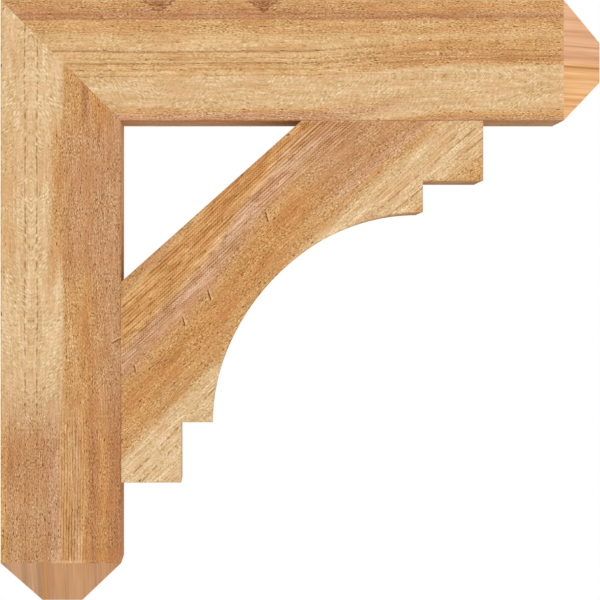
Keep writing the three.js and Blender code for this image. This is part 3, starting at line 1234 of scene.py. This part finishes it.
# Past 212 mm the bands lie mostly on the toes' undersides and end faces, so the darker stops there are
# painted shade on those faces as well as the rings' tone.
brace_bands = [
    (0, "honey"), (9, "brown"), (14, "gold"), (19, "orange"), (47, "orange"), (54, "honey"), (61, "mauve"),
    (69, "mauve"), (75, "rose"), (86, "honey"), (98, "orange"), (118, "orange"), (124, "honey"),
    (136, "honey"), (141, "gold"), (147, "tan"), (152, "straw"), (196, "straw"), (212, "tan"),
    (226, "brown"), (240, "seam"),
]
brace_far = [
    (0, "honey"), (9, "brown"), (38, "orange"), (50, "brown"), (58, "rose"), (75, "rose"), (118, "brown"),
    (126, "mauve"), (136, "gold"), (147, "tan"), (190, "tan"), (200, "gold"), (212, "honey"),
    (226, "brown"), (240, "seam"),
]
brace_axes = (in_front_plane(GRAIN_START) * MM, in_front_plane(GRAIN_ALONG), in_front_plane(GRAIN_ACROSS))
brace_fades = [(brace_far, [(0, 0), (215, 0), (270, 1), (LENGTH, 1)])]
brace_shift = (CLIMB_FULL, [(distance, rise / CLIMB_FULL) for distance, rise in CLIMB])
brace_nicks = [
    (178.5, 50.7, 11.1, 1.0), (68.4, 73.8, 11.4, 1.0), (25.7, 77.9, 9.6, 1.0), (-53.6, 82.0, 7.6, 1.0),
]
brace_sawn = sawn_cedar(
    "brace_sawn", brace_axes, BRACE_SPAN, brace_bands, brace_fades, heart=172.0, feather=0.1,
    heart_lines=0.9, nicks=brace_nicks, shift=brace_shift)

# %% [markdown]
# ## The pointed ends
#
# The cuts of the points were planed, so they are smooth, and the rings show as clean fine lines. A narrow
# line noise and a broader streak noise stand for them, over bands of their own, and the surface is less
# rough than the sawn faces.

# %% Planed cedar material
LINE_LUMP, LINE_CONTRAST = (300, 1.5, 60), 0.75
BROAD_LUMP, BROAD_CONTRAST = (120, 6, 90), 0.3


def planed_cedar(name, axes, bands):
    material, tree, grain = start_material(name, axes)
    lines, streaks = (noise(tree, grain.values(), lump, 1.0) for lump in (LINE_LUMP, BROAD_LUMP))
    shade = product(
        tree, sway(tree, lines, LINE_CONTRAST, 1.0), sway(tree, streaks, BROAD_CONTRAST, 1.0))
    colour = band_ramp(tree, calc(tree, "DIVIDE", grain["across"], SECTION), bands, SECTION)
    colour = use_group(tree, warm_shade, colour=colour, shade=shade)["Colour"]
    roughness = remap(tree, lines, 0.3, 0.7, 0.55, 0.7)
    finish_material(tree, colour, roughness, specular=0.3, height=lines, bump=(0.3, 0.2))
    return material


arm_planed = planed_cedar("arm_planed", arm_axes, [
    (0, "pink"), (20, "pink"), (22, "pink line"), (24, "pink"), (34, "pink"), (36, "pink line"),
    (38, "pink"), (41, "pink line"), (43, "pink"), (51, "pink"), (53, "pink line"), (55, "pink"),
    (66, "pink line"), (70, "pink"), (75, "amber"), (76.5, "cut line"), (79, "amber line"), (84, "amber"),
    (90, "amber line"), (93, "amber"), (106, "amber"), (108, "amber line"), (111, "amber"),
    (116, "amber line"), (120, "amber"), (123, "amber line"), (126, "amber"),
])
post_planed = planed_cedar("post_planed", post_axes, [
    (0, "mauve"), (20, "pink"), (28, "mauve"), (36, "pink"), (44, "mauve"), (52, "amber line"),
    (56, "pink line"), (66, "toast"), (102, "toast"), (110, "pink line"), (118, "toast"),
    (140, "pink line"),
])

# %% [markdown]
# ## Dressing the pieces
#
# Each mesh takes the place of one CAD node, rides on the part's only body, and says which finish slot it
# shows.

# %% Dress the pieces
dressing = (
    (post, "post", (post_sawn, post_planed)),
    (arm, "arm", (arm_sawn, arm_planed)),
    (brace, "brace", (brace_sawn,)),
)
for piece, node, finishes in dressing:
    for finish in finishes:
        piece.data.materials.append(finish)
    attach(piece, "root")
    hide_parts(node)
print("dressed:", ", ".join(node for _, node, _ in dressing))

# %% [markdown]
# ## Studio
#
# The picture has white paper behind the bracket and soft light from all round, a little stronger from the
# upper left. The camera sees plain white, while the wood is lit by a sky that is dimmer towards the
# ground and brighter where the paper glows. A large key light rakes the front so that torn fibres and
# ribs show, and a weaker fill light to the right opens up the pointed end. The floor lies far below,
# because the bracket hangs on a wall.

# %% World
scene = bpy.context.scene
scene.view_settings.view_transform = "Standard"
SKY_LOW, SKY_HIGH = 0.42, 0.6
PAPER_GLOW = 0.6  # light that the paper behind adds
world = bpy.data.worlds.new("studio")
world.use_nodes = True
scene.world = world
sky = world.node_tree
direction = sky.nodes.new("ShaderNodeTexCoord").outputs["Generated"]
heading = add_node(sky, "ShaderNodeSeparateXYZ", {0: direction}).outputs
sky_light = remap(sky, heading["Z"], -0.5, 0.6, SKY_LOW, SKY_HIGH)
paper_light = remap(sky, heading["Y"], 0.0, 0.7, 0.0, PAPER_GLOW)
soft = sky.nodes["Background"]
soft.inputs["Color"].default_value = WHITE
wire(sky, soft.inputs["Strength"], calc(sky, "ADD", sky_light, paper_light))
paper = add_node(sky, "ShaderNodeBackground", {"Color": WHITE, "Strength": 1.0})
seen = sky.nodes.new("ShaderNodeLightPath").outputs["Is Camera Ray"]
both = add_node(sky, "ShaderNodeMixShader", {0: seen, 1: soft.outputs[0], 2: paper.outputs[0]})
wire(sky, sky.nodes["World Output"].inputs["Surface"], both.outputs[0])
print("sky from", SKY_LOW, "to", SKY_HIGH)

# %% Lights
MIDDLE = Vector((LENGTH / 2, 0, 0)) * MM


def soft_light(name, place, size, power):
    light = bpy.data.objects.new(name, bpy.data.lights.new(name, "AREA"))
    light.data.size = size
    light.data.energy = power
    light.location = place
    light.rotation_euler = (MIDDLE - light.location).to_track_quat("-Z", "Y").to_euler()
    light.visible_camera = False
    scene.collection.objects.link(light)
    print(f"{name}: {power} W, {size} m wide")


soft_light("key", (-1.6, -2.6, 2.0), size=1.2, power=41)
soft_light("fill", (2.6, -2.4, -0.1), size=1.6, power=37)

# %% Floor
FLOOR_REACH = 26.0
FLOOR_LEVEL = -3.0
FLOOR_GREY = (0.68, 0.68, 0.67, 1)
corners = [(x * FLOOR_REACH, y * FLOOR_REACH, FLOOR_LEVEL) for x, y in ((-1, -1), (1, -1), (1, 1), (-1, 1))]
floor_mesh = bpy.data.meshes.new("floor")
floor_mesh.from_pydata(corners, [], [(0, 1, 2, 3)])
floor = bpy.data.objects.new("floor", floor_mesh)
scene.collection.objects.link(floor)
floor_paint = bpy.data.materials.new("floor_paint")
floor_paint.use_nodes = True
paint = floor_paint.node_tree.nodes["Principled BSDF"]
paint.inputs["Base Color"].default_value = FLOOR_GREY
paint.inputs["Roughness"].default_value = 0.9
floor_mesh.materials.append(floor_paint)
print("floor at", FLOOR_LEVEL, "m")
